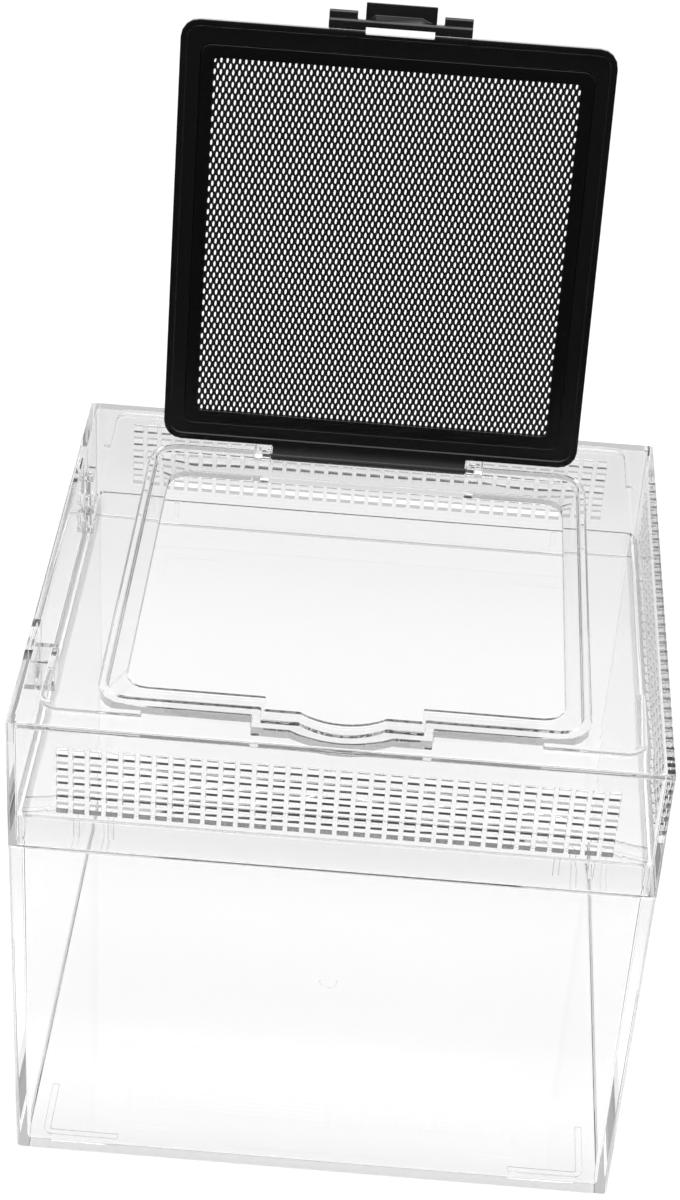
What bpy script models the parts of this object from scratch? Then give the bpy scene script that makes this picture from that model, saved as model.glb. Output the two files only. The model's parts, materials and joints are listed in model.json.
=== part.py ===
"""Reptile breeding box: a clear tub, a clear vented lid, a black mesh door and a clear side flap.

Metres, +Z up. The origin lies under the middle of the space that the box takes with its
door open, at the height of the feet. The front wall looks along -Y. The mesh door stands
open, as it does when the keeper feeds the animals, and the side flap is shut.
"""

import math

import bmesh
import bpy

# Lid
LID_WIDTH = 0.200
LID_DEPTH = 0.190
BOX_HEIGHT = 0.180
LID_HEIGHT = 0.0475
LID_WALL = 0.0023
LID_PLATE = 0.0025
LID_CORNER = 0.0010

# Tub
TUB_DRAFT = 0.0006
TUB_CORNER = 0.0016
TUB_FLOOR = 0.0024
TUB_FLOOR_FILLET = 0.0014
TUB_EDGE_CHAMFER = 0.0005
RIM_WALL = 0.0014
RIM_OVERLAP = 0.0110
RIM_CHAMFER = 0.0004
SEAT_GAP = 0.0003
FOOT_HEIGHT = 0.0008
FOOT_WIDTH = 0.0021
FOOT_INSET = 0.0088
FOOT_ALONG_X = 0.0252
FOOT_ALONG_Y = 0.0234
FOOT_CORNER = 0.0030
GATE_RADIUS = 0.0031
GATE_HEIGHT = 0.0004
GRIP_RIB_WIDTH = 0.0017
GRIP_RIB_DEPTH = 0.0004
GRIP_RIB_HEIGHT = 0.0066
GRIP_RIB_INSETS = (0.0170, 0.0276)

# Vents
VENT_WIDTH = 0.0036
VENT_HEIGHT = 0.0032
VENT_PITCH = 0.00503
VENT_ROW_PITCH = 0.00519
VENT_ROWS = 5
VENT_MARGIN = 0.0151
VENT_TOP_DROP = 0.0102

# Stacking ribs on the lid
RIB_WIDTH = 0.0022
RIB_HEIGHT = 0.0008
RIB_CORNER = 0.0060
RIB_SIDE_INSET = 0.0083
RIB_FRONT_INSET = 0.0085
RIB_BACK_INSET = 0.0045
RIB_ALONG_X = 0.0312
RIB_ALONG_Y_FRONT = 0.0308
RIB_ALONG_Y_BACK = 0.0251

# Recess that the mesh door lies in, and the opening through it
DOOR_DROP = 0.0003
DOOR_SEAT_GAP = 0.0004
LEDGE = 0.0026
PAN_WALL = 0.0026
RECESS_GAP = 0.0007
RECESS_FRONT_GAP = 0.0003
RECESS_CORNER_GAP = 0.0010
RECESS_BACK_GAP = 0.0016
SIDE_LEDGE = 0.0050
FRONT_LEDGE = 0.0100
BACK_LEDGE = 0.0112
OPENING_CORNER = 0.0070
NOTCH_FRONT_GAP = 0.0004
NOTCH_GAP = 0.0012
NOTCH_SIDE_LEDGE = 0.0006
OPENING_NOTCH_REACH = 0.0066
SCOOP_HALF_WIDTH = 0.0130
SCOOP_DEPTH = 0.0044
SCOOP_STEPS = 10

# Mesh door
DOOR_FROM_SIDE = 0.0280
DOOR_FROM_FRONT = 0.0188
DOOR_THICKNESS = 0.0026
DOOR_CORNER = 0.0062
DOOR_RIM = 0.0022
DOOR_RIM_HEIGHT = 0.0005
DOOR_OPEN_DEGREES = 102.3
DOOR_LIFT = 0.0001
SIDE_BORDER = 0.0113
HINGE_BORDER = 0.0108
LATCH_BORDER = 0.0123
WINDOW_CORNER = 0.0015
RING_WIDTH = 0.0043
RING_CORNER = 0.0035
RING_THICKNESS = 0.0007
NET_LAP = 0.0022
NET_THICKNESS = 0.0004
NET_COLUMNS = 12
NET_ROWS = 13
NET_STRAND_SHARE = 0.30
CLAMP_GAP = 0.0002

# Hinge of the mesh door
PIN_BACK = 0.0222
PIN_RADIUS = 0.00092
PIN_LENGTH = 0.0033
BARREL_RADIUS = 0.0013
HINGE_WIDTH = 0.0672
HINGE_ARM = 0.0039
HINGE_ARM_THICKNESS = 0.0019
HINGE_SIDE_GAP = 0.0004
HINGE_END_GAP = 0.0004
CLIP_WIDTH = 0.0057
CLIP_FRONT_GAP = 0.0007
CLIP_CHAMFER = 0.0016
CLIP_BORE_GAP = 0.00018
CLIP_MOUTH_SQUEEZE = 0.0002
POCKET_GAP = 0.0005
POCKET_BACK = 0.0038

# Spring latch on the door's front edge
LATCH_WIDTH = 0.0473
LATCH_BAR = 0.0033
LATCH_EDGE = 0.0006
LATCH_SLOT_WIDTH = 0.0227
LATCH_SLOT_IN_DOOR = 0.0010
LATCH_SLOT_IN_BAR = 0.0011
TAB_WIDTH = 0.0094
TAB_REACH = 0.0026
TAB_THICKNESS = 0.0013
GRIP_WIDTH = 0.0234
GRIP_REACH = 0.0053
GRIP_THICKNESS = 0.0012
GRIP_CLEARANCE = 0.0003
GRIP_ROOT = 0.0015
RAMP_REACH = 0.0016
RAMP_END = 0.0001
RAMP_LEFT = 0.0021
RAMP_LEFT_SLOPE = 0.0013
RAMP_RIGHT = 0.0016
RAMP_RIGHT_SLOPE = 0.0034

# Side flap in the left wall
FLAP_FRONT = 0.0580
FLAP_FROM_BACK = 0.0340
FLAP_THICKNESS = 0.0018
FLAP_DROP = 0.0049
FLAP_ABOVE_RIM = 0.0032
FLAP_GAP = 0.0004
FLAP_SKIN = 0.0003
FLAP_PIN_RADIUS = 0.0008
FLAP_PIN_INSET = 0.0030
FLAP_PIN_BEHIND = 0.0040
FLAP_BORE_GAP = 0.00018
KNUCKLE_RADIUS = 0.0020
KNUCKLE_HEIGHT = 0.0046
KNUCKLE_LOW = 0.0003
KNUCKLE_HIGH = 0.0083
KNUCKLE_CLEARANCE = 0.0010
LUG_HEIGHT = 0.0023
LUG_BACK = 0.0050
LUG_HIGH = 0.0190
TONGUE_LENGTH = 0.0100
TONGUE_THICKNESS = 0.0010
WELL_AHEAD = 0.0141
WELL_LENGTH = 0.0101
WELL_DEPTH = 0.0082
WELL_LOW = 0.0121
WELL_HEIGHT = 0.0114
WELL_WALL = 0.0013

# Steps round a quarter circle, and the overrun of a cut past the face it opens
CORNER_STEPS = 4
FILLET_STEPS = 3
ROUND_SIDES = 16
OVERRUN = 0.0010
OVERLAP = 0.0004

# Places that follow from these sizes
DOOR_OPEN = math.radians(DOOR_OPEN_DEGREES)
PIN_FROM_FRONT = LID_DEPTH - PIN_BACK
DOOR_FAR_EDGE = PIN_FROM_FRONT - DOOR_FROM_FRONT
DOOR_LENGTH = DOOR_FAR_EDGE - HINGE_ARM
DOOR_WIDTH = LID_WIDTH - 2 * DOOR_FROM_SIDE
WINDOW_WIDTH = DOOR_WIDTH - 2 * SIDE_BORDER
WINDOW_LENGTH = DOOR_LENGTH - HINGE_BORDER - LATCH_BORDER
LATCH_START = DOOR_FAR_EDGE + SEAT_GAP
LATCH_TIP = LATCH_START + LATCH_BAR + GRIP_REACH
DOOR_TOP = DOOR_LIFT + DOOR_THICKNESS
PIN_DROP = DOOR_TOP + DOOR_DROP
GRIP_LOW = PIN_DROP + GRIP_CLEARANCE
GRIP_TOP = GRIP_LOW + GRIP_THICKNESS
BACK_REACH = PIN_FROM_FRONT - LATCH_TIP * math.cos(DOOR_OPEN) + GRIP_TOP * math.sin(DOOR_OPEN)
FRONT_Y = -BACK_REACH / 2
BACK_Y = FRONT_Y + LID_DEPTH
HALF_WIDTH = LID_WIDTH / 2
PIN_Y = FRONT_Y + PIN_FROM_FRONT
PIN_Z = BOX_HEIGHT - PIN_DROP
SKIRT_Z = BOX_HEIGHT - LID_HEIGHT
RIM_TOP_Z = SKIRT_Z + RIM_OVERLAP
RECESS_Z = PIN_Z + DOOR_LIFT - DOOR_SEAT_GAP
PAN_Z = RECESS_Z - LEDGE
RIM_INSET = LID_WALL + SEAT_GAP
INNER_INSET = RIM_INSET + RIM_WALL
FLOOR_TOP = FOOT_HEIGHT + TUB_FLOOR
RECESS_FRONT = DOOR_FROM_FRONT - RECESS_FRONT_GAP
RECESS_BACK = PIN_FROM_FRONT - HINGE_ARM + RECESS_BACK_GAP
NOTCH_FRONT = PIN_FROM_FRONT - LATCH_START - LATCH_BAR - TAB_REACH - NOTCH_FRONT_GAP
RECESS_HALF = DOOR_WIDTH / 2 + RECESS_GAP
RECESS_CORNER = DOOR_CORNER + RECESS_CORNER_GAP
NOTCH_HALF = LATCH_WIDTH / 2 + NOTCH_GAP
HINGE_HALF = HINGE_WIDTH / 2
CLIP_INNER = HINGE_HALF + HINGE_SIDE_GAP
CLIP_OUTER = CLIP_INNER + CLIP_WIDTH
FLAP_TOP_Z = BOX_HEIGHT - FLAP_DROP
FLAP_LOW_Z = RIM_TOP_Z + FLAP_ABOVE_RIM
FLAP_BACK = LID_DEPTH - FLAP_FROM_BACK
FLAP_PIN_X = FLAP_PIN_INSET - HALF_WIDTH
FLAP_PIN_Y = FRONT_Y + FLAP_BACK + FLAP_PIN_BEHIND
LUG_LOW_Z = RIM_TOP_Z + FLAP_GAP


def clear_scene():
    for item in list(bpy.data.objects):
        bpy.data.objects.remove(item)


def plastic(name, colour, roughness, clearness=0.0):
    made = bpy.data.materials.new(name)
    made.use_nodes = True
    shader = made.node_tree.nodes["Principled BSDF"]
    shader.inputs["Base Color"].default_value = (*colour, 1.0)
    shader.inputs["Roughness"].default_value = roughness
    shader.inputs["Metallic"].default_value = 0.0
    shader.inputs["Transmission Weight"].default_value = clearness
    return made


def arc(centre, radius, start, end, steps):
    """Points of a circular arc between two angles in degrees, both ends included."""
    return [
        (
            centre[0] + radius * math.cos(math.radians(start + (end - start) * i / steps)),
            centre[1] + radius * math.sin(math.radians(start + (end - start) * i / steps)),
        )
        for i in range(steps + 1)
    ]


def rounded(low, high, radius, steps=CORNER_STEPS):
    """A rectangle with round corners, anticlockwise from its front left corner."""
    (x0, y0), (x1, y1) = low, high
    return (
        arc((x0 + radius, y0 + radius), radius, 180, 270, steps)
        + arc((x1 - radius, y0 + radius), radius, 270, 360, steps)
        + arc((x1 - radius, y1 - radius), radius, 0, 90, steps)
        + arc((x0 + radius, y1 - radius), radius, 90, 180, steps)
    )


def loft(mesh, loops):
    """Adds a closed skin through loops of (x, y, z), in order, with a cap at each end."""
    rings = [[mesh.verts.new(point) for point in loop] for loop in loops]
    count = len(rings[0])
    for low, high in zip(rings, rings[1:]):
        for i in range(count):
            j = (i + 1) % count
            mesh.faces.new((low[i], low[j], high[j], high[i]))
    mesh.faces.new(list(reversed(rings[0])))
    mesh.faces.new(rings[-1])


def at_height(outline, z):
    return [(x, y, z) for x, y in outline]


def prism(mesh, outline, low, high):
    """An upright prism between two heights."""
    loft(mesh, [at_height(outline, low), at_height(outline, high)])


def prism_across(mesh, outline, left, right):
    """A prism along X of an outline in (y, z)."""
    loft(mesh, [[(x, y, z) for y, z in outline] for x in (left, right)])


def block(mesh, low, high):
    prism(
        mesh,
        [(low[0], low[1]), (high[0], low[1]), (high[0], high[1]), (low[0], high[1])],
        low[2],
        high[2],
    )


def made_object(name, mesh, material=None, place=(0, 0, 0), turn=0.0):
    """An object from a bmesh, its normals out, turned about X at its place."""
    bmesh.ops.recalc_face_normals(mesh, faces=mesh.faces)
    data = bpy.data.meshes.new(name)
    mesh.to_mesh(data)
    mesh.free()
    thing = bpy.data.objects.new(name, data)
    bpy.context.scene.collection.objects.link(thing)
    thing.location = place
    thing.rotation_euler = (turn, 0, 0)
    if material:
        data.materials.append(material)
    return thing


def combine(target, name, mesh, operation):
    """Joins or cuts the target with a helper shape that stays out of the render."""
    helper = made_object(name, mesh)
    helper.location = target.location
    helper.rotation_euler = target.rotation_euler
    helper.hide_render = True
    helper.display_type = "WIRE"
    step = target.modifiers.new(name, "BOOLEAN")
    step.object = helper
    step.operation = operation
    step.solver = "EXACT"


def smooth_round_faces(thing):
    thing.data.shade_smooth()
    thing.data.set_sharp_from_angle(angle=math.radians(30))


def corner_rib(mesh, corner, across, along, width, radius, low, high):
    """An L-shaped rib. across and along are its signed leg lengths from the outer corner."""
    side_x = math.copysign(1, across)
    side_y = math.copysign(1, along)
    x, y = corner
    outer = arc((radius, radius), radius, 180, 270, CORNER_STEPS)
    inner = arc((radius, radius), radius - width, 270, 180, CORNER_STEPS)
    outline = (
        [(0, abs(along))]
        + outer
        + [(abs(across), 0), (abs(across), width)]
        + inner
        + [(width, abs(along))]
    )
    prism(mesh, [(x + side_x * u, y + side_y * v) for u, v in outline], low, high)


def box_loop(inset, z, radius):
    """A rounded rectangle round the whole box, a given distance inside the lid's outline."""
    low = (inset - HALF_WIDTH, FRONT_Y + inset)
    high = (HALF_WIDTH - inset, BACK_Y - inset)
    return at_height(rounded(low, high, radius), z)


# Tub
def tub_feet(mesh):
    for side_x in (-1, 1):
        for side_y in (-1, 1):
            x = side_x * (HALF_WIDTH - FOOT_INSET)
            y = (FRONT_Y + BACK_Y) / 2 + side_y * (LID_DEPTH / 2 - FOOT_INSET)
            legs = (-side_x * FOOT_ALONG_X, -side_y * FOOT_ALONG_Y)
            corner_rib(mesh, (x, y), *legs, FOOT_WIDTH, FOOT_CORNER, 0, FOOT_HEIGHT + OVERLAP)


def tub_gate(mesh):
    centre = (0, (FRONT_Y + BACK_Y) / 2)
    ring = arc(centre, GATE_RADIUS, 0, 360, ROUND_SIDES)[:-1]
    prism(mesh, ring, FOOT_HEIGHT - GATE_HEIGHT, FOOT_HEIGHT + OVERLAP)


def tub_grip_ribs(mesh):
    """Short upright ribs inside the rim, near its corners, that stiffen it."""
    top = RIM_TOP_Z - RIM_CHAMFER
    for side in (-1, 1):
        for inset in GRIP_RIB_INSETS:
            x = side * (HALF_WIDTH - INNER_INSET - inset)
            half = GRIP_RIB_WIDTH / 2
            for wall, depth in (
                (FRONT_Y + INNER_INSET, GRIP_RIB_DEPTH),
                (BACK_Y - INNER_INSET, -GRIP_RIB_DEPTH),
            ):
                ends = sorted((wall + depth, wall - math.copysign(OVERLAP, depth)))
                block(mesh, (x - half, ends[0], top - GRIP_RIB_HEIGHT), (x + half, ends[1], top))


def make_base_tub(material):
    ledge_z = SKIRT_Z - SEAT_GAP
    mesh = bmesh.new()
    loops = [
        box_loop(TUB_DRAFT + TUB_EDGE_CHAMFER, FOOT_HEIGHT, TUB_CORNER),
        box_loop(TUB_DRAFT, FOOT_HEIGHT + TUB_EDGE_CHAMFER, TUB_CORNER),
        box_loop(0, ledge_z, TUB_CORNER),
        box_loop(RIM_INSET, ledge_z, TUB_CORNER),
        box_loop(RIM_INSET, RIM_TOP_Z - RIM_CHAMFER, TUB_CORNER),
        box_loop(RIM_INSET + RIM_CHAMFER, RIM_TOP_Z, TUB_CORNER),
        box_loop(INNER_INSET, RIM_TOP_Z, TUB_CORNER),
    ]
    for across, up in arc((0, 0), TUB_FLOOR_FILLET, 180, 270, FILLET_STEPS):
        inset = INNER_INSET + TUB_FLOOR_FILLET + across
        loops.append(box_loop(inset, FLOOR_TOP + TUB_FLOOR_FILLET + up, TUB_CORNER))
    loft(mesh, loops)
    tub = made_object("base_tub", mesh, material)
    for name, shape in (
        ("tub_feet_shape", tub_feet),
        ("tub_gate_shape", tub_gate),
        ("tub_grip_rib_shape", tub_grip_ribs),
    ):
        mesh = bmesh.new()
        shape(mesh)
        combine(tub, name, mesh, "UNION")
    smooth_round_faces(tub)
    return tub


# Lid
def hatch_outline(grow, front, back, half, corner, notch_half, notch_front, scoop_half, scoop_depth):
    """The door's outline: a rounded rectangle with a latch notch and a finger scoop in front.

    grow pushes the whole outline outwards. Distances run from the lid's front wall.
    """
    y0 = FRONT_Y + front - grow
    y1 = FRONT_Y + back + grow
    x1 = half + grow
    radius = corner + grow
    notch_x = notch_half + grow
    notch_y = FRONT_Y + notch_front - grow
    scoop = scoop_half + grow
    bow = (scoop**2 + scoop_depth**2) / (2 * scoop_depth)
    spread = math.degrees(math.asin(scoop / bow))
    centre = (0, notch_y - scoop_depth + bow)
    return (
        arc((radius - x1, y0 + radius), radius, 180, 270, CORNER_STEPS)
        + [(-notch_x, y0), (-notch_x, notch_y)]
        + arc(centre, bow, 270 - spread, 270 + spread, SCOOP_STEPS)
        + [(notch_x, notch_y), (notch_x, y0)]
        + arc((x1 - radius, y0 + radius), radius, 270, 360, CORNER_STEPS)
        + arc((x1 - radius, y1 - radius), radius, 0, 90, CORNER_STEPS)
        + arc((radius - x1, y1 - radius), radius, 90, 180, CORNER_STEPS)
    )


def recess_outline(grow):
    return hatch_outline(
        grow,
        RECESS_FRONT,
        RECESS_BACK,
        RECESS_HALF,
        RECESS_CORNER,
        NOTCH_HALF,
        NOTCH_FRONT,
        SCOOP_HALF_WIDTH,
        SCOOP_DEPTH,
    )


def opening_outline():
    front = RECESS_FRONT + FRONT_LEDGE
    return hatch_outline(
        0,
        front,
        RECESS_BACK - BACK_LEDGE,
        RECESS_HALF - SIDE_LEDGE,
        OPENING_CORNER,
        NOTCH_HALF - NOTCH_SIDE_LEDGE,
        front - OPENING_NOTCH_REACH,
        SCOOP_HALF_WIDTH,
        SCOOP_DEPTH,
    )


def lid_pan(mesh):
    """The block that hangs under the plate, round the recess."""
    prism(mesh, recess_outline(PAN_WALL), PAN_Z, BOX_HEIGHT - LID_PLATE + OVERLAP)


def lid_hinge_boss(mesh):
    low = (-CLIP_OUTER, FRONT_Y + RECESS_BACK, PAN_Z)
    high = (CLIP_OUTER, PIN_Y + POCKET_BACK + PAN_WALL, BOX_HEIGHT - LID_PLATE + OVERLAP)
    block(mesh, low, high)


def lid_recess(mesh):
    prism(mesh, recess_outline(0), RECESS_Z, BOX_HEIGHT + OVERRUN)


def lid_opening(mesh):
    prism(mesh, opening_outline(), PAN_Z - OVERRUN, RECESS_Z + OVERRUN)


def lid_hinge_pocket(mesh):
    """Room for the door's barrel between the two clips."""
    low = (-CLIP_INNER, FRONT_Y + RECESS_BACK - OVERRUN, PIN_Z - BARREL_RADIUS - POCKET_GAP)
    block(mesh, low, (CLIP_INNER, PIN_Y + POCKET_BACK, BOX_HEIGHT + OVERRUN))


def lid_clips(mesh):
    """Two blocks that hold the door's pins, cut back at the front so that the door can turn."""
    top = BOX_HEIGHT - OVERLAP
    outline = [
        (PIN_Y - HINGE_ARM + CLIP_FRONT_GAP, RECESS_Z - OVERLAP),
        (PIN_Y + POCKET_BACK, RECESS_Z - OVERLAP),
        (PIN_Y + POCKET_BACK, top),
        (PIN_Y - HINGE_ARM + CLIP_FRONT_GAP + CLIP_CHAMFER, top),
        (PIN_Y - HINGE_ARM + CLIP_FRONT_GAP, top - CLIP_CHAMFER),
    ]
    for side in (-1, 1):
        ends = sorted((side * CLIP_INNER, side * CLIP_OUTER))
        prism_across(mesh, outline, *ends)


def lid_clip_bores(mesh):
    """A keyhole in each clip: a round seat with a narrower mouth that the pin snaps through."""
    radius = PIN_RADIUS + CLIP_BORE_GAP
    mouth = PIN_RADIUS - CLIP_MOUTH_SQUEEZE
    spread = math.degrees(math.asin(mouth / radius))
    seat = arc((PIN_Y, PIN_Z), radius, 90 + spread, 450 - spread, ROUND_SIDES)
    top = BOX_HEIGHT + OVERRUN
    outline = seat + [(PIN_Y + mouth, top), (PIN_Y - mouth, top)]
    deep = HINGE_HALF + PIN_LENGTH + HINGE_END_GAP
    for side in (-1, 1):
        ends = sorted((side * (CLIP_INNER - OVERRUN), side * deep))
        prism_across(mesh, outline, *ends)


def lid_ribs(mesh):
    low, high = BOX_HEIGHT - OVERLAP, BOX_HEIGHT + RIB_HEIGHT
    for side in (-1, 1):
        x = side * (HALF_WIDTH - RIB_SIDE_INSET)
        front = (x, FRONT_Y + RIB_FRONT_INSET)
        legs = (-side * RIB_ALONG_X, RIB_ALONG_Y_FRONT)
        corner_rib(mesh, front, *legs, RIB_WIDTH, RIB_CORNER, low, high)
        back = (x, BACK_Y - RIB_BACK_INSET)
        legs = (-side * RIB_ALONG_X, -RIB_ALONG_Y_BACK)
        corner_rib(mesh, back, *legs, RIB_WIDTH, RIB_CORNER, low, high)


def vent_places(length):
    """Centres of a row of vents, even about the middle of a wall of this length."""
    count = int(round((length - 2 * VENT_MARGIN - VENT_WIDTH) / VENT_PITCH)) + 1
    return [(i - (count - 1) / 2) * VENT_PITCH for i in range(count)]


def lid_vents(mesh):
    """Rows of square holes through the front, back and right walls."""
    half = VENT_WIDTH / 2
    deep = LID_WALL + OVERRUN
    middle_y = (FRONT_Y + BACK_Y) / 2
    for row in range(VENT_ROWS):
        z = BOX_HEIGHT - VENT_TOP_DROP - row * VENT_ROW_PITCH
        low, high = z - VENT_HEIGHT / 2, z + VENT_HEIGHT / 2
        for x in vent_places(LID_WIDTH):
            block(mesh, (x - half, FRONT_Y - OVERRUN, low), (x + half, FRONT_Y + deep, high))
            block(mesh, (x - half, BACK_Y - deep, low), (x + half, BACK_Y + OVERRUN, high))
        for step in vent_places(LID_DEPTH):
            y = middle_y + step
            low_corner = (HALF_WIDTH - deep, y - half, low)
            block(mesh, low_corner, (HALF_WIDTH + OVERRUN, y + half, high))


def lid_flap_opening(mesh):
    inside = LID_WALL + OVERRUN - HALF_WIDTH
    outside = -HALF_WIDTH - OVERRUN
    low = (outside, FRONT_Y + FLAP_FRONT - FLAP_GAP, FLAP_LOW_Z - FLAP_GAP)
    back = FLAP_PIN_Y + KNUCKLE_RADIUS + KNUCKLE_CLEARANCE
    block(mesh, low, (inside, back, FLAP_TOP_Z + FLAP_GAP))


def lid_finger_well(mesh):
    """A small box inside the wall, where a fingertip gets behind the flap's tongue."""
    front = FRONT_Y + FLAP_FRONT - WELL_AHEAD
    low = FLAP_LOW_Z + WELL_LOW
    corner = (LID_WALL - OVERLAP - HALF_WIDTH, front, low)
    block(mesh, corner, (WELL_DEPTH - HALF_WIDTH, front + WELL_LENGTH, low + WELL_HEIGHT))


def lid_finger_well_hollow(mesh):
    front = FRONT_Y + FLAP_FRONT - WELL_AHEAD + WELL_WALL
    back = front + WELL_LENGTH - 2 * WELL_WALL
    low = FLAP_LOW_Z + WELL_LOW + WELL_WALL
    high = low + WELL_HEIGHT - 2 * WELL_WALL
    corner = (-HALF_WIDTH - OVERRUN, front, low)
    block(mesh, corner, (WELL_DEPTH - WELL_WALL - HALF_WIDTH, back, high))


def lid_tongue_seat(mesh):
    """A shallow seat for the tongue between the finger well and the side opening."""
    front = FRONT_Y + FLAP_FRONT - WELL_AHEAD + WELL_LENGTH - WELL_WALL
    low = FLAP_LOW_Z + WELL_LOW + WELL_WALL
    high = low + WELL_HEIGHT - 2 * WELL_WALL
    deep = FLAP_SKIN + TONGUE_THICKNESS + FLAP_GAP - HALF_WIDTH
    corner = (-HALF_WIDTH - OVERRUN, front - OVERRUN, low)
    block(mesh, corner, (deep, FRONT_Y + FLAP_FRONT, high))


def lid_flap_lugs(mesh):
    """Two lugs behind the side opening that hold the flap's pin."""
    inner = FLAP_PIN_X + KNUCKLE_RADIUS
    front = FLAP_PIN_Y - KNUCKLE_RADIUS
    for z in (LUG_LOW_Z, LUG_LOW_Z + LUG_HIGH + LUG_HEIGHT):
        outer = LID_WALL - OVERLAP - HALF_WIDTH
        block(mesh, (outer, front, z), (inner, FLAP_PIN_Y + LUG_BACK, z + LUG_HEIGHT))


def lid_lug_bores(mesh):
    ring = arc((FLAP_PIN_X, FLAP_PIN_Y), FLAP_PIN_RADIUS + FLAP_BORE_GAP, 0, 360, ROUND_SIDES)
    prism(mesh, ring[:-1], LUG_LOW_Z - OVERRUN, LUG_LOW_Z + LUG_HIGH + 2 * LUG_HEIGHT + OVERRUN)


def make_lid_shell(material):
    mesh = bmesh.new()
    inside = BOX_HEIGHT - LID_PLATE
    loft(
        mesh,
        [
            box_loop(LID_WALL, inside, LID_CORNER),
            box_loop(LID_WALL, SKIRT_Z, LID_CORNER),
            box_loop(0, SKIRT_Z, LID_CORNER),
            box_loop(0, BOX_HEIGHT, LID_CORNER),
        ],
    )
    lid = made_object("lid_shell", mesh, material)
    for name, shape, operation in (
        ("lid_pan_shape", lid_pan, "UNION"),
        ("lid_hinge_boss_shape", lid_hinge_boss, "UNION"),
        ("lid_recess_cut", lid_recess, "DIFFERENCE"),
        ("lid_opening_cut", lid_opening, "DIFFERENCE"),
        ("lid_clip_shape", lid_clips, "UNION"),
        ("lid_hinge_pocket_cut", lid_hinge_pocket, "DIFFERENCE"),
        ("lid_clip_bore_cut", lid_clip_bores, "DIFFERENCE"),
        ("lid_rib_shape", lid_ribs, "UNION"),
        ("lid_finger_well_shape", lid_finger_well, "UNION"),
        ("lid_flap_opening_cut", lid_flap_opening, "DIFFERENCE"),
        ("lid_flap_lug_shape", lid_flap_lugs, "UNION"),
        ("lid_lug_bore_cut", lid_lug_bores, "DIFFERENCE"),
        ("lid_finger_well_cut", lid_finger_well_hollow, "DIFFERENCE"),
        ("lid_tongue_seat_cut", lid_tongue_seat, "DIFFERENCE"),
        ("lid_vent_cut", lid_vents, "DIFFERENCE"),
    ):
        mesh = bmesh.new()
        shape(mesh)
        combine(lid, name, mesh, operation)
    smooth_round_faces(lid)
    return lid


# Mesh door, modelled flat, shut, with its pins on the object's X axis
def door_object(name, mesh, material):
    return made_object(name, mesh, material, (0, PIN_Y, PIN_Z), -DOOR_OPEN)


def door_rectangle(half, start, length, radius):
    """An outline that starts this far from the pin and runs away from it."""
    return rounded((-half, -start - length), (half, -start), radius)


def window_rectangle(grow, radius):
    half = WINDOW_WIDTH / 2 + grow
    start = HINGE_ARM + HINGE_BORDER - grow
    return door_rectangle(half, start, WINDOW_LENGTH + 2 * grow, radius)


def door_inner_field(mesh):
    """The face inside the raised rim."""
    half = DOOR_WIDTH / 2 - DOOR_RIM
    length = DOOR_LENGTH - 2 * DOOR_RIM
    outline = door_rectangle(half, HINGE_ARM + DOOR_RIM, length, DOOR_CORNER - DOOR_RIM)
    prism(mesh, outline, DOOR_LIFT - OVERRUN, DOOR_LIFT + DOOR_RIM_HEIGHT)


def door_ring_seat(mesh):
    top = DOOR_LIFT + DOOR_RIM_HEIGHT + RING_THICKNESS + NET_THICKNESS + 2 * CLAMP_GAP
    outline = window_rectangle(RING_WIDTH + CLAMP_GAP, RING_CORNER)
    prism(mesh, outline, DOOR_LIFT - OVERRUN, top)


def door_window(mesh):
    prism(mesh, window_rectangle(0, WINDOW_CORNER), DOOR_LIFT, DOOR_TOP + OVERRUN)


def door_latch_slot(mesh):
    half = LATCH_SLOT_WIDTH / 2
    low = (-half, -DOOR_FAR_EDGE - OVERRUN, DOOR_LIFT - OVERRUN)
    block(mesh, low, (half, LATCH_SLOT_IN_DOOR - DOOR_FAR_EDGE, DOOR_TOP + OVERRUN))


def door_hinge_arm(mesh):
    """The arm from the door's back edge to the barrel, with the barrel's round underside."""
    outline = [(-HINGE_ARM - OVERLAP, DOOR_LIFT)]
    outline += arc((0, 0), BARREL_RADIUS, 210, 420, ROUND_SIDES)
    outline += [(0, HINGE_ARM_THICKNESS), (-HINGE_ARM - OVERLAP, HINGE_ARM_THICKNESS)]
    prism_across(mesh, outline, -HINGE_HALF, HINGE_HALF)


def door_pins(mesh):
    """One round bar through the barrel, whose ends are the two pins."""
    ring = arc((0, 0), PIN_RADIUS, 0, 360, ROUND_SIDES)[:-1]
    prism_across(mesh, ring, -HINGE_HALF - PIN_LENGTH, HINGE_HALF + PIN_LENGTH)


def make_door_frame(material):
    mesh = bmesh.new()
    outline = door_rectangle(DOOR_WIDTH / 2, HINGE_ARM, DOOR_LENGTH, DOOR_CORNER)
    prism(mesh, outline, DOOR_LIFT, DOOR_TOP)
    frame = door_object("door_frame", mesh, material)
    for name, shape, operation in (
        ("door_field_cut", door_inner_field, "DIFFERENCE"),
        ("door_ring_seat_cut", door_ring_seat, "DIFFERENCE"),
        ("door_window_cut", door_window, "DIFFERENCE"),
        ("door_latch_slot_cut", door_latch_slot, "DIFFERENCE"),
        ("door_hinge_arm_shape", door_hinge_arm, "UNION"),
        ("door_pin_shape", door_pins, "UNION"),
    ):
        mesh = bmesh.new()
        shape(mesh)
        combine(frame, name, mesh, operation)
    smooth_round_faces(frame)
    return frame


def make_mesh_retainer(material):
    mesh = bmesh.new()
    low = DOOR_LIFT + DOOR_RIM_HEIGHT
    prism(mesh, window_rectangle(RING_WIDTH, RING_CORNER), low, low + RING_THICKNESS)
    ring = door_object("mesh_retainer", mesh, material)
    mesh = bmesh.new()
    window = window_rectangle(0, WINDOW_CORNER)
    prism(mesh, window, low - OVERRUN, low + RING_THICKNESS + OVERRUN)
    combine(ring, "retainer_window_cut", mesh, "DIFFERENCE")
    smooth_round_faces(ring)
    return ring


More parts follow.
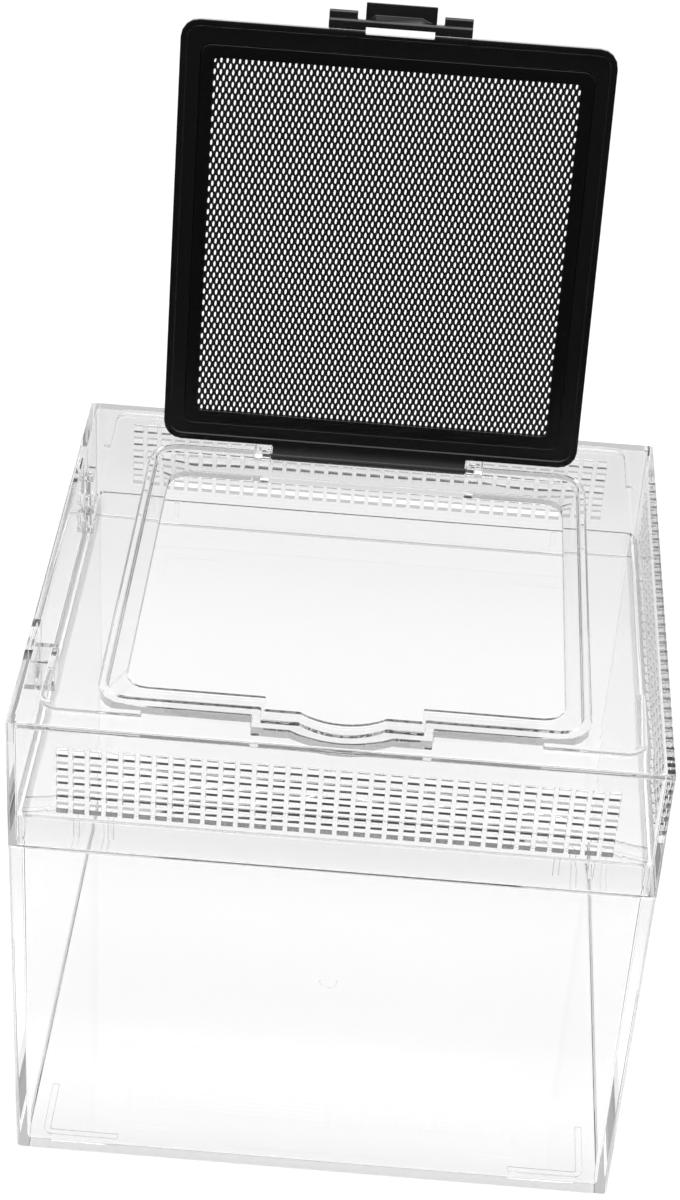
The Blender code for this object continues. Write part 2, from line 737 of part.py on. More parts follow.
def net_gaps(mesh, low, high):
    """Long six-sided gaps in rows, each row set half a gap across from the last."""
    across = WINDOW_WIDTH / NET_COLUMNS
    down = WINDOW_LENGTH / NET_ROWS
    half_x = across * (1 - NET_STRAND_SHARE) / 2
    half_y = down * (1 - NET_STRAND_SHARE / 2) / 2
    start = HINGE_ARM + HINGE_BORDER
    for row in range(NET_ROWS):
        shift = row % 2
        for column in range(NET_COLUMNS - shift):
            x = (column + (1 + shift) / 2) * across - WINDOW_WIDTH / 2
            y = -start - (row + 1 / 2) * down
            outline = [
                (x, y - half_y),
                (x + half_x, y - half_y / 2),
                (x + half_x, y + half_y / 2),
                (x, y + half_y),
                (x - half_x, y + half_y / 2),
                (x - half_x, y - half_y / 2),
            ]
            prism(mesh, outline, low, high)


def make_door_mesh(material):
    mesh = bmesh.new()
    low = DOOR_LIFT + DOOR_RIM_HEIGHT + RING_THICKNESS + CLAMP_GAP
    prism(mesh, window_rectangle(NET_LAP, WINDOW_CORNER), low, low + NET_THICKNESS)
    net = door_object("door_mesh", mesh, material)
    mesh = bmesh.new()
    net_gaps(mesh, low - OVERRUN, low + NET_THICKNESS + OVERRUN)
    combine(net, "net_gap_cut", mesh, "DIFFERENCE")
    return net


def latch_bar(mesh):
    """The bar across the door's far edge, with a flat along its lower far corner."""
    near, far = -LATCH_START, -LATCH_START - LATCH_BAR
    outline = [
        (near, DOOR_LIFT),
        (near, DOOR_TOP),
        (far, DOOR_TOP),
        (far, DOOR_LIFT + LATCH_EDGE),
        (far + LATCH_EDGE, DOOR_LIFT),
    ]
    prism_across(mesh, outline, -LATCH_WIDTH / 2, LATCH_WIDTH / 2)


def latch_slot(mesh):
    """The slot that leaves a thin springy strip in the middle of the bar."""
    half = LATCH_SLOT_WIDTH / 2
    low = (-half, -LATCH_START - LATCH_SLOT_IN_BAR, DOOR_LIFT - OVERRUN)
    block(mesh, low, (half, OVERRUN - LATCH_START, DOOR_TOP + OVERRUN))


def latch_tabs(mesh):
    far = -LATCH_START - LATCH_BAR
    tip = far - TAB_REACH
    low = DOOR_TOP - TAB_THICKNESS
    outline = [
        (far + OVERLAP, low),
        (tip + LATCH_EDGE, low),
        (tip, low + LATCH_EDGE),
        (tip, DOOR_TOP),
        (far + OVERLAP, DOOR_TOP),
    ]
    for side in (-1, 1):
        ends = sorted((side * LATCH_WIDTH / 2, side * (LATCH_WIDTH / 2 - TAB_WIDTH)))
        prism_across(mesh, outline, *ends)


def latch_grip(mesh):
    """The finger plate, which lies over the lid's top when the door is shut."""
    half = GRIP_WIDTH / 2
    near = GRIP_ROOT - LATCH_START - LATCH_BAR
    block(mesh, (-half, -LATCH_TIP, GRIP_LOW), (half, near, GRIP_TOP))


def latch_ramp(mesh):
    """The sloping web from the bar's edge up to the finger plate."""
    far = -LATCH_START - LATCH_BAR
    near = far + GRIP_ROOT
    low, high = DOOR_LIFT + LATCH_EDGE, GRIP_LOW + OVERLAP
    left = RAMP_LEFT - GRIP_WIDTH / 2
    right = GRIP_WIDTH / 2 - RAMP_RIGHT
    stations = (
        (left, RAMP_END),
        (left + RAMP_LEFT_SLOPE, RAMP_REACH),
        (right - RAMP_RIGHT_SLOPE, RAMP_REACH),
        (right, RAMP_END),
    )
    loft(
        mesh,
        [
            [(x, near, low), (x, far, low), (x, far - reach, high), (x, near, high)]
            for x, reach in stations
        ],
    )


def make_door_latch(material):
    mesh = bmesh.new()
    latch_bar(mesh)
    latch = door_object("door_latch", mesh, material)
    for name, shape, operation in (
        ("latch_slot_cut", latch_slot, "DIFFERENCE"),
        ("latch_tab_shape", latch_tabs, "UNION"),
        ("latch_ramp_shape", latch_ramp, "UNION"),
        ("latch_grip_shape", latch_grip, "UNION"),
    ):
        mesh = bmesh.new()
        shape(mesh)
        combine(latch, name, mesh, operation)
    return latch


# Side flap
def flap_knuckle_heights():
    for low in (FLAP_LOW_Z + KNUCKLE_LOW, FLAP_LOW_Z + KNUCKLE_HIGH):
        yield low, low + KNUCKLE_HEIGHT


def flap_knuckles(mesh):
    """Two eyes round the pin, each with its arm to the panel, as one outline."""
    x, y = FLAP_PIN_X, FLAP_PIN_Y
    outer = FLAP_SKIN - HALF_WIDTH
    inner = outer + FLAP_THICKNESS
    panel_y = FRONT_Y + FLAP_BACK - OVERLAP
    outline = [(inner, panel_y)] + arc((x, y), KNUCKLE_RADIUS, -60, 180, ROUND_SIDES)
    outline += [(outer + FLAP_SKIN, y - KNUCKLE_RADIUS), (outer + FLAP_SKIN, panel_y)]
    for low, high in flap_knuckle_heights():
        prism(mesh, outline, low, high)


def flap_tongue(mesh):
    """The flap's front end, which reaches over the finger well."""
    outer = FLAP_SKIN - HALF_WIDTH
    low = FLAP_LOW_Z + WELL_LOW + WELL_WALL + FLAP_GAP
    high = FLAP_LOW_Z + WELL_LOW + WELL_HEIGHT - WELL_WALL - FLAP_GAP
    front = FRONT_Y + FLAP_FRONT
    block(mesh, (outer, front - TONGUE_LENGTH, low), (outer + TONGUE_THICKNESS, front + OVERLAP, high))


def flap_bore(mesh):
    ring = arc((FLAP_PIN_X, FLAP_PIN_Y), FLAP_PIN_RADIUS + FLAP_BORE_GAP, 0, 360, ROUND_SIDES)
    prism(mesh, ring[:-1], FLAP_LOW_Z - OVERRUN, FLAP_TOP_Z)


def make_side_flap(material):
    mesh = bmesh.new()
    outer = FLAP_SKIN - HALF_WIDTH
    low = (outer, FRONT_Y + FLAP_FRONT, FLAP_LOW_Z)
    block(mesh, low, (outer + FLAP_THICKNESS, FRONT_Y + FLAP_BACK, FLAP_TOP_Z))
    flap = made_object("side_flap", mesh, material)
    for name, shape, operation in (
        ("flap_knuckle_shape", flap_knuckles, "UNION"),
        ("flap_tongue_shape", flap_tongue, "UNION"),
        ("flap_bore_cut", flap_bore, "DIFFERENCE"),
    ):
        mesh = bmesh.new()
        shape(mesh)
        combine(flap, name, mesh, operation)
    smooth_round_faces(flap)
    return flap


def make_flap_pin(material):
    mesh = bmesh.new()
    ring = arc((FLAP_PIN_X, FLAP_PIN_Y), FLAP_PIN_RADIUS, 0, 360, ROUND_SIDES)[:-1]
    prism(mesh, ring, LUG_LOW_Z, LUG_LOW_Z + LUG_HIGH + 2 * LUG_HEIGHT)
    pin = made_object("flap_pin", mesh, material)
    smooth_round_faces(pin)
    return pin


def make_box():
    clear_scene()
    clear = plastic("clear_polystyrene", (0.93, 0.95, 0.95), 0.05, 1.0)
    black = plastic("black_polypropylene", (0.015, 0.015, 0.016), 0.35)
    net = plastic("black_fibreglass_net", (0.02, 0.02, 0.02), 0.6)
    make_base_tub(clear)
    make_lid_shell(clear)
    make_door_frame(black)
    make_mesh_retainer(black)
    make_door_mesh(net)
    make_door_latch(black)
    make_side_flap(clear)
    make_flap_pin(clear)


make_box()
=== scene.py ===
"""Reptile breeding box: looks for the clear tub, the clear vented lid, the black mesh door and the side flap.

Each section holds one piece or a group of like pieces, in the order in which the box is put together.
"""

import json
import math

import bmesh
import bpy
import numpy as np
from mathutils import Matrix, Vector


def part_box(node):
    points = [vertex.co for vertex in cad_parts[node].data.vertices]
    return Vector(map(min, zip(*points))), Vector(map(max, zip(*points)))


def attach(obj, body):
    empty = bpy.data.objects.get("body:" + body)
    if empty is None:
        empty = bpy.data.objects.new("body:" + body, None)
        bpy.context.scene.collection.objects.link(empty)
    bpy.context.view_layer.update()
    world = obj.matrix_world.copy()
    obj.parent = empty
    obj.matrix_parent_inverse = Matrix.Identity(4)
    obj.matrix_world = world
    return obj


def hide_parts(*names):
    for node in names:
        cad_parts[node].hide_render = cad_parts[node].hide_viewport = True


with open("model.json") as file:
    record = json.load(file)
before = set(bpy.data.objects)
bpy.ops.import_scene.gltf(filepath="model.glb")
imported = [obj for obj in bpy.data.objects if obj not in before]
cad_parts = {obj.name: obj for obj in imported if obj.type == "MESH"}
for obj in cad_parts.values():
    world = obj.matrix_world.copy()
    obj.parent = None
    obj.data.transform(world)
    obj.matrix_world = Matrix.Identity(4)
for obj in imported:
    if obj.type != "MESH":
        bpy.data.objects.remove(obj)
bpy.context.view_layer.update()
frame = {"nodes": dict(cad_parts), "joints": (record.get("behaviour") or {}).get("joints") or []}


# Tub: one deep injection moulding in clear polystyrene, polished inside and out.
# The lid slips over its stepped rim, and four low feet stand under its floor.
def effect_group(name, inputs, outputs):
    """An empty node group with named inputs (kind, name, value) and outputs (kind, name)."""
    group = bpy.data.node_groups.new(name, "ShaderNodeTree")
    for kind, title, value in inputs:
        socket = group.interface.new_socket(title, in_out="INPUT", socket_type=kind)
        socket.default_value = value
    for kind, title in outputs:
        group.interface.new_socket(title, in_out="OUTPUT", socket_type=kind)
    start = group.nodes.new("NodeGroupInput")
    end = group.nodes.new("NodeGroupOutput")
    return group, start, end


def polish_group():
    """Polished moulding: slow waves in the surface and a few duller, handled patches.

    Waves: one noise field at Wave Scale bends the normal by Wave Height.
    Handling: a second noise field at Haze Scale, cut at its upper half, raises the roughness from Low to High.
    """
    group, start, end = effect_group(
        "polished_moulding",
        [
            ("NodeSocketFloat", "Wave Scale", 40.0),
            ("NodeSocketFloat", "Wave Height", 0.02),
            ("NodeSocketFloat", "Haze Scale", 18.0),
            ("NodeSocketFloat", "Low", 0.0),
            ("NodeSocketFloat", "High", 0.06),
        ],
        [("NodeSocketFloat", "Roughness"), ("NodeSocketVector", "Normal")],
    )
    add, link = group.nodes.new, group.links.new
    place = add("ShaderNodeTexCoord")
    waves = add("ShaderNodeTexNoise")
    waves.inputs["Detail"].default_value = 1.0
    link(place.outputs["Object"], waves.inputs["Vector"])
    link(start.outputs["Wave Scale"], waves.inputs["Scale"])
    bump = add("ShaderNodeBump")
    bump.inputs["Distance"].default_value = 0.001
    link(start.outputs["Wave Height"], bump.inputs["Strength"])
    link(waves.outputs["Fac"], bump.inputs["Height"])
    link(bump.outputs["Normal"], end.inputs["Normal"])
    haze = add("ShaderNodeTexNoise")
    haze.inputs["Detail"].default_value = 4.0
    link(place.outputs["Object"], haze.inputs["Vector"])
    link(start.outputs["Haze Scale"], haze.inputs["Scale"])
    spread = add("ShaderNodeMapRange")
    spread.inputs["From Min"].default_value = 0.5
    spread.inputs["From Max"].default_value = 0.8
    link(haze.outputs["Fac"], spread.inputs["Value"])
    link(start.outputs["Low"], spread.inputs["To Min"])
    link(start.outputs["High"], spread.inputs["To Max"])
    link(spread.outputs["Result"], end.inputs["Roughness"])
    return group


def math_in(tree):
    """Gives a function that adds a Math node to the tree. Its values are numbers or output sockets."""

    def math_node(operation, *values):
        node = tree.nodes.new("ShaderNodeMath")
        node.operation = operation
        for socket, value in zip(node.inputs, values):
            if isinstance(value, float):
                socket.default_value = value
            else:
                tree.links.new(value, socket)
        return node.outputs["Value"]

    return math_node


def mixed_shaders(tree, share, first, second):
    """The first shader where share is 0, the second where it is 1."""
    mix = tree.nodes.new("ShaderNodeMixShader")
    for socket, value in zip(mix.inputs, (share, first, second)):
        tree.links.new(value, socket)
    return mix.outputs["Shader"]


def see_straight(tree, grey):
    """Light passes unbent and keeps this share of itself."""
    passing = tree.nodes.new("ShaderNodeBsdfTransparent")
    passing.inputs["Color"].default_value = (grey, grey, grey, 1.0)
    return passing.outputs["BSDF"]


polish = polish_group()


def clear_plastic(name, tint, painted_edge_shade=0.88, edge_reach=0.010, painted_glow_block=None):
    """Clear polystyrene. It bends light as the real resin does, and has faint moulding waves.

    Light that lights the floor or comes from a lamp passes straight through with the resin's tint. Light that has
    turned back inside a wall more than once leaves straight: through a painted edge shade, a flat grey that paints the
    grey of a real box's edges, where it ran no further than edge_reach through the wall, and with the tint beyond.
    Light that has turned back at all inside the painted glow block (its middle and its half sizes), and light after
    very many turns, ends in a painted glow as pale as the room, though the plastic is no lamp.
    """
    once, more_than_once, last_turn, last_pass = 0.5, 1.5, 9.5, 6.5
    painted_glow_grey = 0.74
    made = bpy.data.materials.new(name)
    made.use_nodes = True
    tree = made.node_tree
    calc = math_in(tree)
    shader = tree.nodes["Principled BSDF"]
    shader.inputs["Base Color"].default_value = (tint, tint, tint, 1.0)
    shader.inputs["IOR"].default_value = 1.49
    shader.inputs["Transmission Weight"].default_value = 1.0
    effect = tree.nodes.new("ShaderNodeGroup")
    effect.node_tree = polish
    tree.links.new(effect.outputs["Roughness"], shader.inputs["Roughness"])
    tree.links.new(effect.outputs["Normal"], shader.inputs["Normal"])
    place = tree.nodes.new("ShaderNodeTexCoord")
    split = tree.nodes.new("ShaderNodeSeparateXYZ")
    tree.links.new(place.outputs["Object"], split.inputs["Vector"])

    def in_block(middle, half):
        x, y, z = (calc("COMPARE", split.outputs[a], m, h) for a, m, h in zip("XYZ", middle, half))
        return calc("MULTIPLY", calc("MULTIPLY", x, y), z)

    path = tree.nodes.new("ShaderNodeLightPath")
    straight = calc("ADD", path.outputs["Transmission Depth"], path.outputs["Diffuse Depth"])
    turns = calc("SUBTRACT", path.outputs["Ray Depth"], straight)
    often = calc("GREATER_THAN", turns, more_than_once)
    deep = calc("GREATER_THAN", path.outputs["Ray Depth"], last_turn)
    late = calc("MAXIMUM", deep, calc("GREATER_THAN", path.outputs["Transparent Depth"], last_pass))
    if painted_glow_block:
        late = calc("MAXIMUM", late, calc("MULTIPLY", calc("GREATER_THAN", turns, once), in_block(*painted_glow_block)))
    far = calc("GREATER_THAN", path.outputs["Ray Length"], edge_reach)
    # Painted edge shade: light that turned back more than once near an edge leaves through a flat grey.
    leaving = mixed_shaders(tree, far, see_straight(tree, painted_edge_shade), see_straight(tree, tint))
    bent = mixed_shaders(tree, often, shader.outputs["BSDF"], leaving)
    # Painted glow: light that ends in the glow block or after very many turns gets an emission as pale as the room.
    painted_room_glow = tree.nodes.new("ShaderNodeEmission")
    painted_room_glow.inputs["Color"].default_value = (painted_glow_grey, painted_glow_grey, painted_glow_grey, 1.0)
    ended = mixed_shaders(tree, late, bent, painted_room_glow.outputs["Emission"])
    lighting = calc("MAXIMUM", path.outputs["Is Shadow Ray"], path.outputs["Is Diffuse Ray"])
    shown = mixed_shaders(tree, lighting, ended, see_straight(tree, tint))
    tree.links.new(shown, tree.nodes["Material Output"].inputs["Surface"])
    return made


def moulded(name, node, body, material, radius, softer=None):
    """A merged copy of a CAD node with the small rounds that a mould leaves on its edges; it stands for the node.

    An edge is rounded where its two faces turn by more than 25 degrees. softer(x, y, z) takes the middles of the
    edges and gives each edge's share of the radius. Normals are weighted by face area, so flat walls stay flat.
    """
    same_point, flat_turn, sharp_turn = 2e-6, math.radians(0.6), math.radians(25)
    merged = bmesh.new()
    merged.from_mesh(frame["nodes"][node].data)
    bmesh.ops.remove_doubles(merged, verts=merged.verts, dist=same_point)
    bmesh.ops.dissolve_limit(merged, angle_limit=flat_turn, verts=merged.verts, edges=merged.edges)
    bmesh.ops.triangulate(merged, faces=merged.faces)
    mesh = bpy.data.meshes.new(name)
    merged.to_mesh(mesh)
    merged.free()
    points = np.empty(len(mesh.vertices) * 3)
    mesh.vertices.foreach_get("co", points)
    ends = np.empty(len(mesh.edges) * 2, int)
    mesh.edges.foreach_get("vertices", ends)
    middles = points.reshape(-1, 3)[ends.reshape(-1, 2)].mean(axis=1)
    loop_edges = np.empty(len(mesh.loops), int)
    mesh.loops.foreach_get("edge_index", loop_edges)
    corners = np.empty(len(mesh.polygons), int)
    mesh.polygons.foreach_get("loop_total", corners)
    normals = np.empty(len(mesh.polygons) * 3)
    mesh.polygons.foreach_get("normal", normals)
    normals = normals.reshape(-1, 3)
    loop_faces = np.repeat(np.arange(len(corners)), corners)
    pairs = loop_faces[np.argsort(loop_edges, kind="stable")].reshape(-1, 2)
    bend = (normals[pairs[:, 0]] * normals[pairs[:, 1]]).sum(axis=1)
    shares = np.where(bend < math.cos(sharp_turn), softer(*middles.T) if softer else 1.0, 0.0)
    mesh.attributes.new("bevel_weight_edge", "FLOAT", "EDGE").data.foreach_set("value", shares.astype(np.float32))
    mesh.shade_smooth()
    mesh.materials.clear()
    mesh.materials.append(material)
    made = bpy.data.objects.new(name, mesh)
    bpy.context.scene.collection.objects.link(made)
    rounds = made.modifiers.new("rounds", "BEVEL")
    rounds.limit_method = "WEIGHT"
    rounds.width = radius
    rounds.segments = 2
    rounds.use_clamp_overlap = False
    made.modifiers.new("flat_walls", "WEIGHTED_NORMAL")
    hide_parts(node)
    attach(made, body)


def tub_rounds(x, y, z):
    """The feet, the gate mark and the thin rim have smaller rounds than the walls."""
    feet_top, rim_foot = 0.0012, 0.125
    return np.select([z < feet_top, z > rim_foot], [0.45, 0.35], 1.0)


clear_tint, tub_round = 0.980, 0.0005
# Painted edge shade on the tub: a darker grey over a longer reach through its walls.
tub_plastic = clear_plastic("tub_plastic", clear_tint, painted_edge_shade=0.75, edge_reach=0.030)
moulded("tub", "base_tub", "tub", tub_plastic, tub_round, tub_rounds)


# Lid: the second clear moulding, a shallow cap with vents in three walls, a sunk ledge round the opening in its
# plate, two clips for the door's pins and low ribs at its corners. It slips over the tub's rim.
def between(values, low, high):
    return (values > low) & (values < high)


def lid_rounds(x, y, z):
    """Vents are nearly sharp and the flap's lugs and finger well a little softer.

    The clips, the corner ribs and the lid's outer edges come next, then the ledge, the opening's brim and, softest
    of all, the ledge under the door's arm.
    """
    low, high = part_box("lid_shell")
    wall = 0.0026
    row_end, side_row_end = 0.0900, 0.0080
    on_front = (y < low[1] + wall) & between(x, -row_end, row_end)
    on_back = (y > high[1] - wall) & between(x, -row_end, row_end)
    on_right = (x > high[0] - wall) & between(y, low[1] + side_row_end, high[1] - side_row_end)
    vents = between(z, 0.1452, 0.1705) & (on_front | on_back | on_right)
    lugs_reach, lugs_top = 0.012, 0.1770
    lugs = (x < low[0] + lugs_reach) & (z < lugs_top)
    ledge = between(x, -0.0680, 0.0680) & between(y, -0.0860, 0.0540) & between(z, 0.1735, 0.1780)
    arm_front, arm_side = 0.0480, 0.0330
    under_arm = ledge & (y > arm_front) & between(x, -arm_side, arm_side)
    plate, plate_skin = 0.1795, 0.1803
    brim = between(z, plate, plate_skin) & between(x, -0.0745, 0.0745) & between(y, -0.0880, arm_front)
    on_plate = (z > plate) & (abs(x) < high[0] - wall / 2) & (y > low[1] + wall / 2)
    outer_edges = 0.32
    return np.select(
        [vents, lugs, under_arm, ledge, brim, on_plate],
        [0.06, 0.20, 1.0, 0.42, 0.8, 0.28],
        outer_edges,
    )


lid_tint, lid_round = 0.995, 0.0010
# Painted glow: a fixed block round the lid's ledge under the door's arm makes turned light there end pale. The lid's
# edges also carry a darker painted edge shade.
painted_glow_under_arm = (0.0, 0.0540, 0.1760), (0.0360, 0.0080, 0.0040)
lid_plastic = clear_plastic("lid_plastic", lid_tint, painted_edge_shade=0.62, painted_glow_block=painted_glow_under_arm)
moulded("lid", "lid_shell", "lid", lid_plastic, lid_round, lid_rounds)


# Side flap and its pin: small clear mouldings. The flap's two eyes turn on the pin, which snaps into two lugs
# inside the lid's left wall, and its tongue is pulled from the finger well.
small_round, pin_tint = 0.0002, 0.5
flap_plastic = clear_plastic("flap_plastic", clear_tint)
moulded("flap", "side_flap", "flap", flap_plastic, small_round)
pin_plastic = clear_plastic("pin_plastic", pin_tint)
moulded("pin", "flap_pin", "lid", pin_plastic, small_round)


# Mesh door: a black ABS frame with a raised rim, a flat ring that clamps the net, and a springy latch that is
# moulded in one with the frame. Its two pins snap into the lid's clips.
def grain_group():
    """Fine moulded grain: one noise field at Scale bends the normal by Height."""
    group, start, end = effect_group(
        "moulded_grain",
        [("NodeSocketFloat", "Scale", 2500.0), ("NodeSocketFloat", "Height", 0.2)],
        [("NodeSocketVector", "Normal")],
    )
    add, link = group.nodes.new, group.links.new
    place = add("ShaderNodeTexCoord")
    grain = add("ShaderNodeTexNoise")
    link(place.outputs["Object"], grain.inputs["Vector"])
    link(start.outputs["Scale"], grain.inputs["Scale"])
    bump = add("ShaderNodeBump")
    bump.inputs["Distance"].default_value = 0.00005
    link(start.outputs["Height"], bump.inputs["Strength"])
    link(grain.outputs["Fac"], bump.inputs["Height"])
    link(bump.outputs["Normal"], end.inputs["Normal"])
    return group


moulded_grain = grain_group()


def black_plastic(name, grey, roughness, gloss=0.5):
    made = bpy.data.materials.new(name)
    made.use_nodes = True
    tree = made.node_tree
    shader = tree.nodes["Principled BSDF"]
    shader.inputs["Base Color"].default_value = (grey, grey, grey, 1.0)
    shader.inputs["Roughness"].default_value = roughness
    shader.inputs["IOR"].default_value = 1.5
    shader.inputs["Specular IOR Level"].default_value = gloss
    effect = tree.nodes.new("ShaderNodeGroup")
    effect.node_tree = moulded_grain
    tree.links.new(effect.outputs["Normal"], shader.inputs["Normal"])
    return made


def door_piece(name, node, body, grey, roughness, radius):
    moulded(name, node, body, black_plastic(name + "_plastic", grey, roughness), radius)


door_piece("door", "door_frame", "door", grey=0.0045, roughness=0.2, radius=0.00025)
door_piece("ring", "mesh_retainer", "door", grey=0.0025, roughness=0.18, radius=0.00022)
door_piece("latch", "door_latch", "latch", grey=0.0080, roughness=0.25, radius=0.00025)


# Net: a fine black plastic net with staggered oval openings.
# It is cut to the frame and clamped under the ring all round.
def from_door(points):
    """Turns door coordinates (x, distance from the pin, height over the door) into the box's frame."""
    hinge = next(j for j in frame["joints"] if j["name"] == "door_hinge")
    swing = math.radians(hinge["range_deg"][1])
    turn = Matrix.Rotation(-swing, 4, "X")
    move = np.array(Matrix.Translation(Vector(hinge["pos_m"])) @ turn)
    local = np.stack([points[:, 0], -points[:, 1], points[:, 2]], axis=1)
    return local @ move[:3, :3].T + move[:3, 3]


def mesh_piece(name, points, faces, material):
    """A mesh piece from arrays of points and of quads."""
    mesh = bpy.data.meshes.new(name)
    mesh.from_pydata(points.tolist(), [], faces.tolist())
    mesh.materials.append(material)
    made = bpy.data.objects.new(name, mesh)
    bpy.context.scene.collection.objects.link(made)
    return made


def net_mesh(columns, rows, half_width, start, length, low, high):
    """A flat net of staggered ovals.

    Each cell is a hexagon of eight boundary points, whose top and bottom points reach into the next rows, and it holds
    a slightly slanted oval of eight points: across it is the cosine of the turn times the oval's half width plus the
    sine times its slant, and along the net it is the sine times its half length. Quads join the hexagon and the oval
    above and below, and a wall joins the two ovals.
    """
    wide, tall = 2 * half_width / columns, length / rows
    column, row = np.meshgrid(np.arange(columns), np.arange(rows))
    centre_x = (column + 0.5 + 0.5 * (row % 2)) * wide - half_width - wide / 4
    centre_s = start + (row + 0.5) * tall
    centres = np.stack([centre_x.ravel(), centre_s.ravel()], axis=1)
    side, tip = wide / 2, tall * 0.68
    corner = tall - tip
    cell = np.array([
        [side, 0], [side, corner], [0, tip], [-side, corner], [-side, 0], [-side, -corner], [0, -tip], [side, -corner],
    ])
    sides = len(cell)
    turns = np.radians(np.arange(sides) * 360 / sides)
    oval_half_width, oval_slant, oval_half_length = 0.185 * wide, 0.035 * wide, 0.50 * tall
    oval = np.stack(
        [oval_half_width * np.cos(turns) + oval_slant * np.sin(turns), oval_half_length * np.sin(turns)], axis=1
    )
    rings = []
    for outline, height in ((cell, high), (oval, high), (oval, low), (cell, low)):
        flat = centres[:, None, :] + outline[None, :, :]
        rings.append(np.concatenate([flat, np.full(flat.shape[:2] + (1,), height)], axis=2))
    points = np.stack(rings, axis=1).reshape(-1, 3)
    base = (np.arange(len(centres)) * sides * len(rings))[:, None, None]
    ring = (np.arange(len(rings) - 1) * sides)[None, :, None]
    step = np.arange(sides)[None, None, :]
    after = (step + 1) % sides
    quads = np.stack(
        [base + ring + step, base + ring + after, base + ring + sides + after, base + ring + sides + step], axis=-1
    ).reshape(-1, 4)
    return points, quads


net_plastic = black_plastic("net_plastic", grey=0.006, roughness=0.5, gloss=0.3)
net_points, net_quads = net_mesh(
    columns=61, rows=64, half_width=0.0629, start=0.0125, length=0.1264, low=0.0015, high=0.0019
)
net = mesh_piece("fine_net", from_door(net_points), net_quads, net_plastic)
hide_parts("door_mesh")
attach(net, "door")


# Studio: a pale paper floor a hair under the feet, a soft pale room and one large lamp overhead, with the camera
# where the photograph was taken. Seen through the box, the floor carries a painted shade. Light that the clear
# plastic turns back meets a painted dark reflection on the floor in front and a darker room on the camera's side,
# which gives the box its grey edges.
def span(tree, source, start, stop):
    """0 where the source is at start, 1 where it is at stop."""
    node = tree.nodes.new("ShaderNodeMapRange")
    node.inputs["From Min"].default_value = start
    node.inputs["From Max"].default_value = stop
    tree.links.new(source, node.inputs["Value"])
    return node.outputs["Result"]


def grey_ramp(tree, source, stops):
    """A ramp of greys through the stops (position, grey)."""
    ramp = tree.nodes.new("ShaderNodeValToRGB")
    while len(ramp.color_ramp.elements) < len(stops):
        ramp.color_ramp.elements.new(0.5)
    for element, (position, grey) in zip(ramp.color_ramp.elements, stops):
        element.position = position
        element.color = (grey, grey, grey, 1)
    tree.links.new(source, ramp.inputs["Fac"])
    return ramp.outputs["Color"]


def mixed_greys(tree, share, first, second):
    """The first colour where share is 0, the second where it is 1. Each is an output socket or a plain grey."""
    mix = tree.nodes.new("ShaderNodeMix")
    mix.data_type = "RGBA"
    tree.links.new(share, mix.inputs["Factor"])
    for socket, value in ((mix.inputs["A"], first), (mix.inputs["B"], second)):
        if isinstance(value, float):
            socket.default_value = (value, value, value, 1)
        else:
            tree.links.new(value, socket)
    return mix.outputs["Result"]


floor_with_painted_shade = bpy.data.materials.new("floor_with_painted_shade")
floor_with_painted_shade.use_nodes = True
tree = floor_with_painted_shade.node_tree
calc = math_in(tree)
paper = tree.nodes["Principled BSDF"]
paper.inputs["Roughness"].default_value = 0.9
paper.inputs["Specular IOR Level"].default_value = 0.0
path = tree.nodes.new("ShaderNodeLightPath")
direct = path.outputs["Is Camera Ray"]
straight = calc("ADD", path.outputs["Transmission Depth"], path.outputs["Diffuse Depth"])
turned = calc("GREATER_THAN", path.outputs["Ray Depth"], straight)
where = tree.nodes.new("ShaderNodeTexCoord")
across = tree.nodes.new("ShaderNodeSeparateXYZ")
tree.links.new(where.outputs["Object"], across.inputs["Vector"])
# Painted reflection: light that the clear plastic has turned back sees the floor in front near black, standing in for
# a dark room on the camera's side. Straight light and the camera see that floor pale.
dark_from, dark_fully = -0.14, -0.17
painted_dark_reflection = calc("MULTIPLY", turned, span(tree, across.outputs["Y"], dark_from, dark_fully))
# Painted shade: seen through the box and by the light it passes, the floor is darker at the box's front edge and much
# darker behind it, a painted shadow behind the box. The camera sees the floor plain.
shaded_from, shaded_to = -0.1, 0.4
painted_shade_through_box = grey_ramp(
    tree,
    span(tree, across.outputs["Y"], shaded_from, shaded_to),
    [(0.0, 0.80), (0.04, 0.90), (0.12, 0.99), (0.32, 0.99), (0.50, 0.82), (0.74, 0.73), (0.95, 0.69)],
)
plain_grey, painted_reflection_grey = 0.9, 0.03
shown = mixed_greys(tree, direct, painted_shade_through_box, plain_grey)
tree.links.new(mixed_greys(tree, painted_dark_reflection, shown, painted_reflection_grey), paper.inputs["Base Color"])
outwards = tree.nodes.new("ShaderNodeVectorMath")
outwards.operation = "LENGTH"
tree.links.new(where.outputs["Object"], outwards.inputs[0])
seamless_from, seamless_fully = 0.5, 1.2
far_away = calc("MULTIPLY", span(tree, outwards.outputs["Value"], seamless_from, seamless_fully), direct)
seamless = tree.nodes.new("ShaderNodeEmission")
sheet = mixed_shaders(tree, far_away, paper.outputs["BSDF"], seamless.outputs["Emission"])
tree.links.new(sheet, tree.nodes["Material Output"].inputs["Surface"])

reach, under_feet = 3.0, -0.0002
floor_corners = np.array([[-reach, -reach, 0], [reach, -reach, 0], [reach, reach, 0], [-reach, reach, 0]])
floor_corners[:, 2] = under_feet
floor = mesh_piece("studio_floor", floor_corners, np.array([[0, 1, 2, 3]]), floor_with_painted_shade)

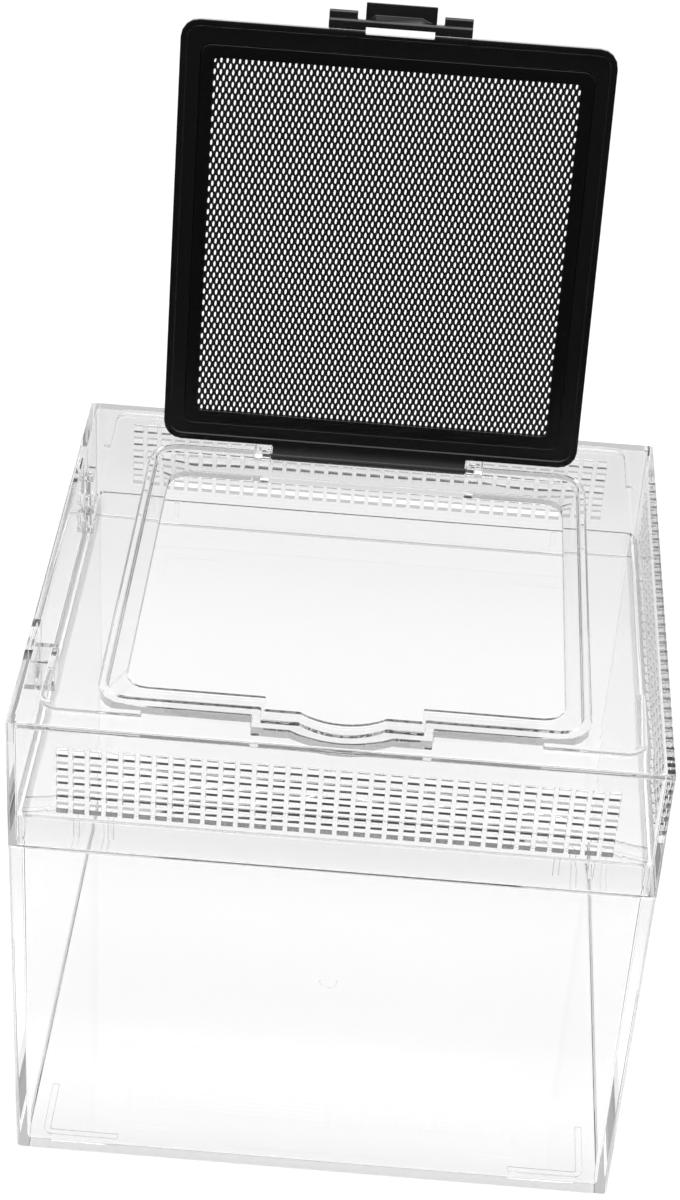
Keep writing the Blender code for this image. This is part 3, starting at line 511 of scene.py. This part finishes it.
room = bpy.data.worlds.new("studio_room")
bpy.context.scene.world = room
room.use_nodes = True
tree = room.node_tree
calc = math_in(tree)
background = tree.nodes["Background"]
background.inputs["Strength"].default_value = 1.0
place = tree.nodes.new("ShaderNodeTexCoord")
split = tree.nodes.new("ShaderNodeSeparateXYZ")
tree.links.new(place.outputs["Generated"], split.inputs["Vector"])
up, back = split.outputs["Z"], split.outputs["Y"]
front = calc("MULTIPLY", back, -1.0)
upper_wall = grey_ramp(tree, up, [(0.0, 0.0), (0.14, 0.0), (0.26, 1.0), (0.76, 1.0), (0.88, 0.0)])
behind_box = calc("MULTIPLY", upper_wall, grey_ramp(tree, back, [(0.15, 0.0), (0.40, 1.0)]))
lower_wall = grey_ramp(tree, up, [(0.22, 1.0), (0.36, 0.0)])
camera_side = calc("MULTIPLY", lower_wall, grey_ramp(tree, front, [(0.25, 0.0), (0.50, 1.0)]))
low_wall = grey_ramp(tree, up, [(0.16, 1.0), (0.26, 0.0)])
glow = calc("MULTIPLY", low_wall, grey_ramp(tree, back, [(0.2, 0.0), (0.5, 1.0)]))
behind_share, camera_share, glow_share = 0.42, 0.95, 1.4
darker = calc("ADD", calc("MULTIPLY", behind_box, behind_share), calc("MULTIPLY", camera_side, camera_share))
shade = calc("SUBTRACT", darker, calc("MULTIPLY", glow, glow_share))
away = tree.nodes.new("ShaderNodeLightPath")
unseen = calc("SUBTRACT", 1.0, away.outputs["Is Camera Ray"])
level = calc("SUBTRACT", 1.0, calc("MULTIPLY", shade, unseen))
tree.links.new(level, background.inputs["Color"])

lamp = bpy.data.lights.new("overhead_lamp", "AREA")
lamp.shape = "RECTANGLE"
lamp.size, lamp.size_y = 1.6, 1.2
lamp.energy = 15.5
overhead = bpy.data.objects.new("overhead_lamp", lamp)
overhead.location = (0.0, 0.2, 1.8)
overhead.rotation_mode = "QUATERNION"
overhead.rotation_quaternion = (Vector((0, 0, 0)) - overhead.location).to_track_quat("-Z", "Y")
bpy.context.scene.collection.objects.link(overhead)

camera = bpy.data.cameras.new("photo_camera")
camera.lens = 79.81
camera.sensor_width = 36.0
camera.shift_y = 0.0220
camera.clip_start = 0.05
camera.clip_end = 50.0
view = bpy.data.objects.new("photo_camera", camera)
rightward = Vector((0.99670629, 0.05951666, 0.05508482))
downward = Vector((0.07926934, -0.57165049, -0.81665910))
forward = Vector((-0.01711556, 0.81833580, -0.57448549))
turned_to_box = Matrix((rightward, -downward, -forward)).transposed().to_4x4()
camera_place = Vector((0.01059, -0.727687, 0.66334))
view.matrix_world = Matrix.Translation(camera_place) @ turned_to_box
bpy.context.scene.collection.objects.link(view)
bpy.context.scene.camera = view
bpy.context.scene.view_settings.view_transform = "Standard"
